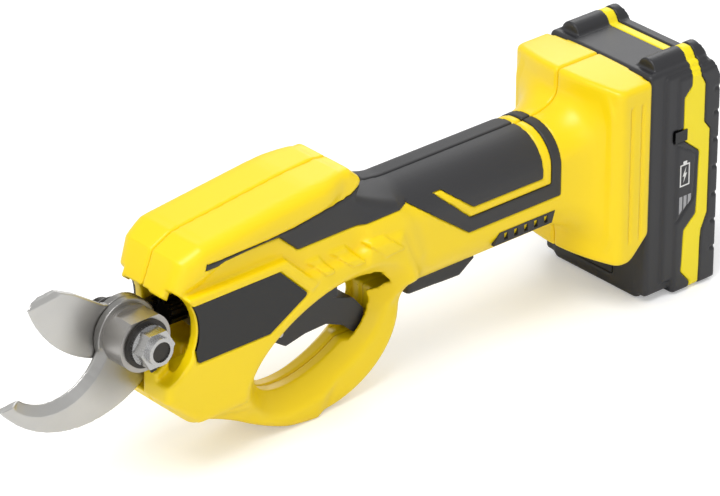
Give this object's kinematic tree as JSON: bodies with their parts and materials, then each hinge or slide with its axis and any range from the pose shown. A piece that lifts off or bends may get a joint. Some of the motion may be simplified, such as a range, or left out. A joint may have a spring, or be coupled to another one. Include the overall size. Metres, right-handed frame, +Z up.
{
  "type": "battery electric pruner",
  "caption": "Battery electric pruner with a curved cutting blade over a hook blade, a finger loop with a trigger, and a slide-on battery.",
  "frame": {"origin": "middle of the tool's footprint, on the surface it stands on", "axes": "-X towards the blades, +X towards the battery, +Z up, casing splits on Y = 0"},
  "size_m": [0.421, 0.077, 0.1295],
  "materials": {
    "casing_yellow": "satin",
    "grip_rubber": "matte",
    "gloss_black": "gloss",
    "pack_black": "matte",
    "pack_yellow": "satin",
    "blade_steel": "brushed",
    "turned_steel": "satin",
    "dark_steel": "satin",
    "zinc_steel": "satin",
    "board_green": "satin",
    "cell_wrap": "satin"
  },
  "bodies": {
    "casing": {"casing_left": "casing_yellow", "casing_right": "casing_yellow", "soft_grip_left": "grip_rubber", "soft_grip_right": "grip_rubber", "nameplate_left": "gloss_black", "nameplate_right": "gloss_black", "vent_grille_left": "grip_rubber", "vent_grille_right": "grip_rubber", "casing_screws": "zinc_steel", "hook_blade": "blade_steel", "pivot_boss": "turned_steel", "lock_plate": "dark_steel", "pivot_washer": "zinc_steel", "pivot_nut": "zinc_steel", "pivot_bolt": "dark_steel", "thrust_washer": "zinc_steel", "output_bearing": "turned_steel", "gearbox_housing": "turned_steel", "ring_gear": "dark_steel", "motor_can": "turned_steel", "motor_end_cap": "pack_black", "trigger_pin": "zinc_steel", "trigger_switch": "pack_black", "control_board": "board_green", "capacitors": "pack_black", "rail_plate": "pack_black"},
    "blade": {"cutting_blade": "blade_steel", "gear_sector": "dark_steel"},
    "pinion": {"drive_pinion": "dark_steel", "planet_carrier": "dark_steel", "planet_gears": "dark_steel"},
    "rotor": {"motor_rotor": "dark_steel", "sun_gear": "dark_steel"},
    "trigger": {"trigger": "pack_black"},
    "battery": {"battery_front_case": "pack_black", "battery_band": "pack_yellow", "battery_rear_case": "pack_black", "battery_cells": "cell_wrap", "cell_straps": "turned_steel", "battery_board": "board_green", "cell_holder": "pack_black", "charge_window": "gloss_black"},
    "latch": {"battery_latch": "pack_black"},
    "charge_key": {"charge_button": "gloss_black"}
  },
  "joints": [
    {"name": "blade_close", "type": "hinge", "parent": "casing", "child": "blade", "pos_m": [-0.1375, 0, 0.079], "axis": [0, -1, 0], "range_deg": [0, 50]},
    {"name": "pinion_spin", "type": "hinge", "parent": "casing", "child": "pinion", "pos_m": [-0.1005, 0, 0.079], "axis": [1, 0, 0], "range_deg": [0, 225]},
    {"name": "rotor_spin", "type": "hinge", "parent": "casing", "child": "rotor", "pos_m": [-0.0305, 0, 0.079], "axis": [1, 0, 0], "range_deg": [0, 1125]},
    {"name": "trigger_pull", "type": "hinge", "parent": "casing", "child": "trigger", "pos_m": [-0.0515, 0, 0.049], "axis": [0, -1, 0], "range_deg": [0, 8], "stiffness_Nm_per_rad": 0.5},
    {"name": "battery_slide", "type": "slide", "parent": "casing", "child": "battery", "axis": [0, 0, -1], "range_m": [0, 0.01]},
    {"name": "latch_press", "type": "slide", "parent": "battery", "child": "latch", "axis": [1, 0, 0], "range_m": [0, 0.002], "stiffness_N_per_m": 500},
    {"name": "charge_key_press", "type": "slide", "parent": "battery", "child": "charge_key", "axis": [0, 1, 0], "range_m": [0, 0.0007], "stiffness_N_per_m": 500}
  ],
  "couplings": [
    {"joint": "pinion_spin", "follows": "blade_close", "ratio": 4.5},
    {"joint": "rotor_spin", "follows": "blade_close", "ratio": 22.5}
  ]
}
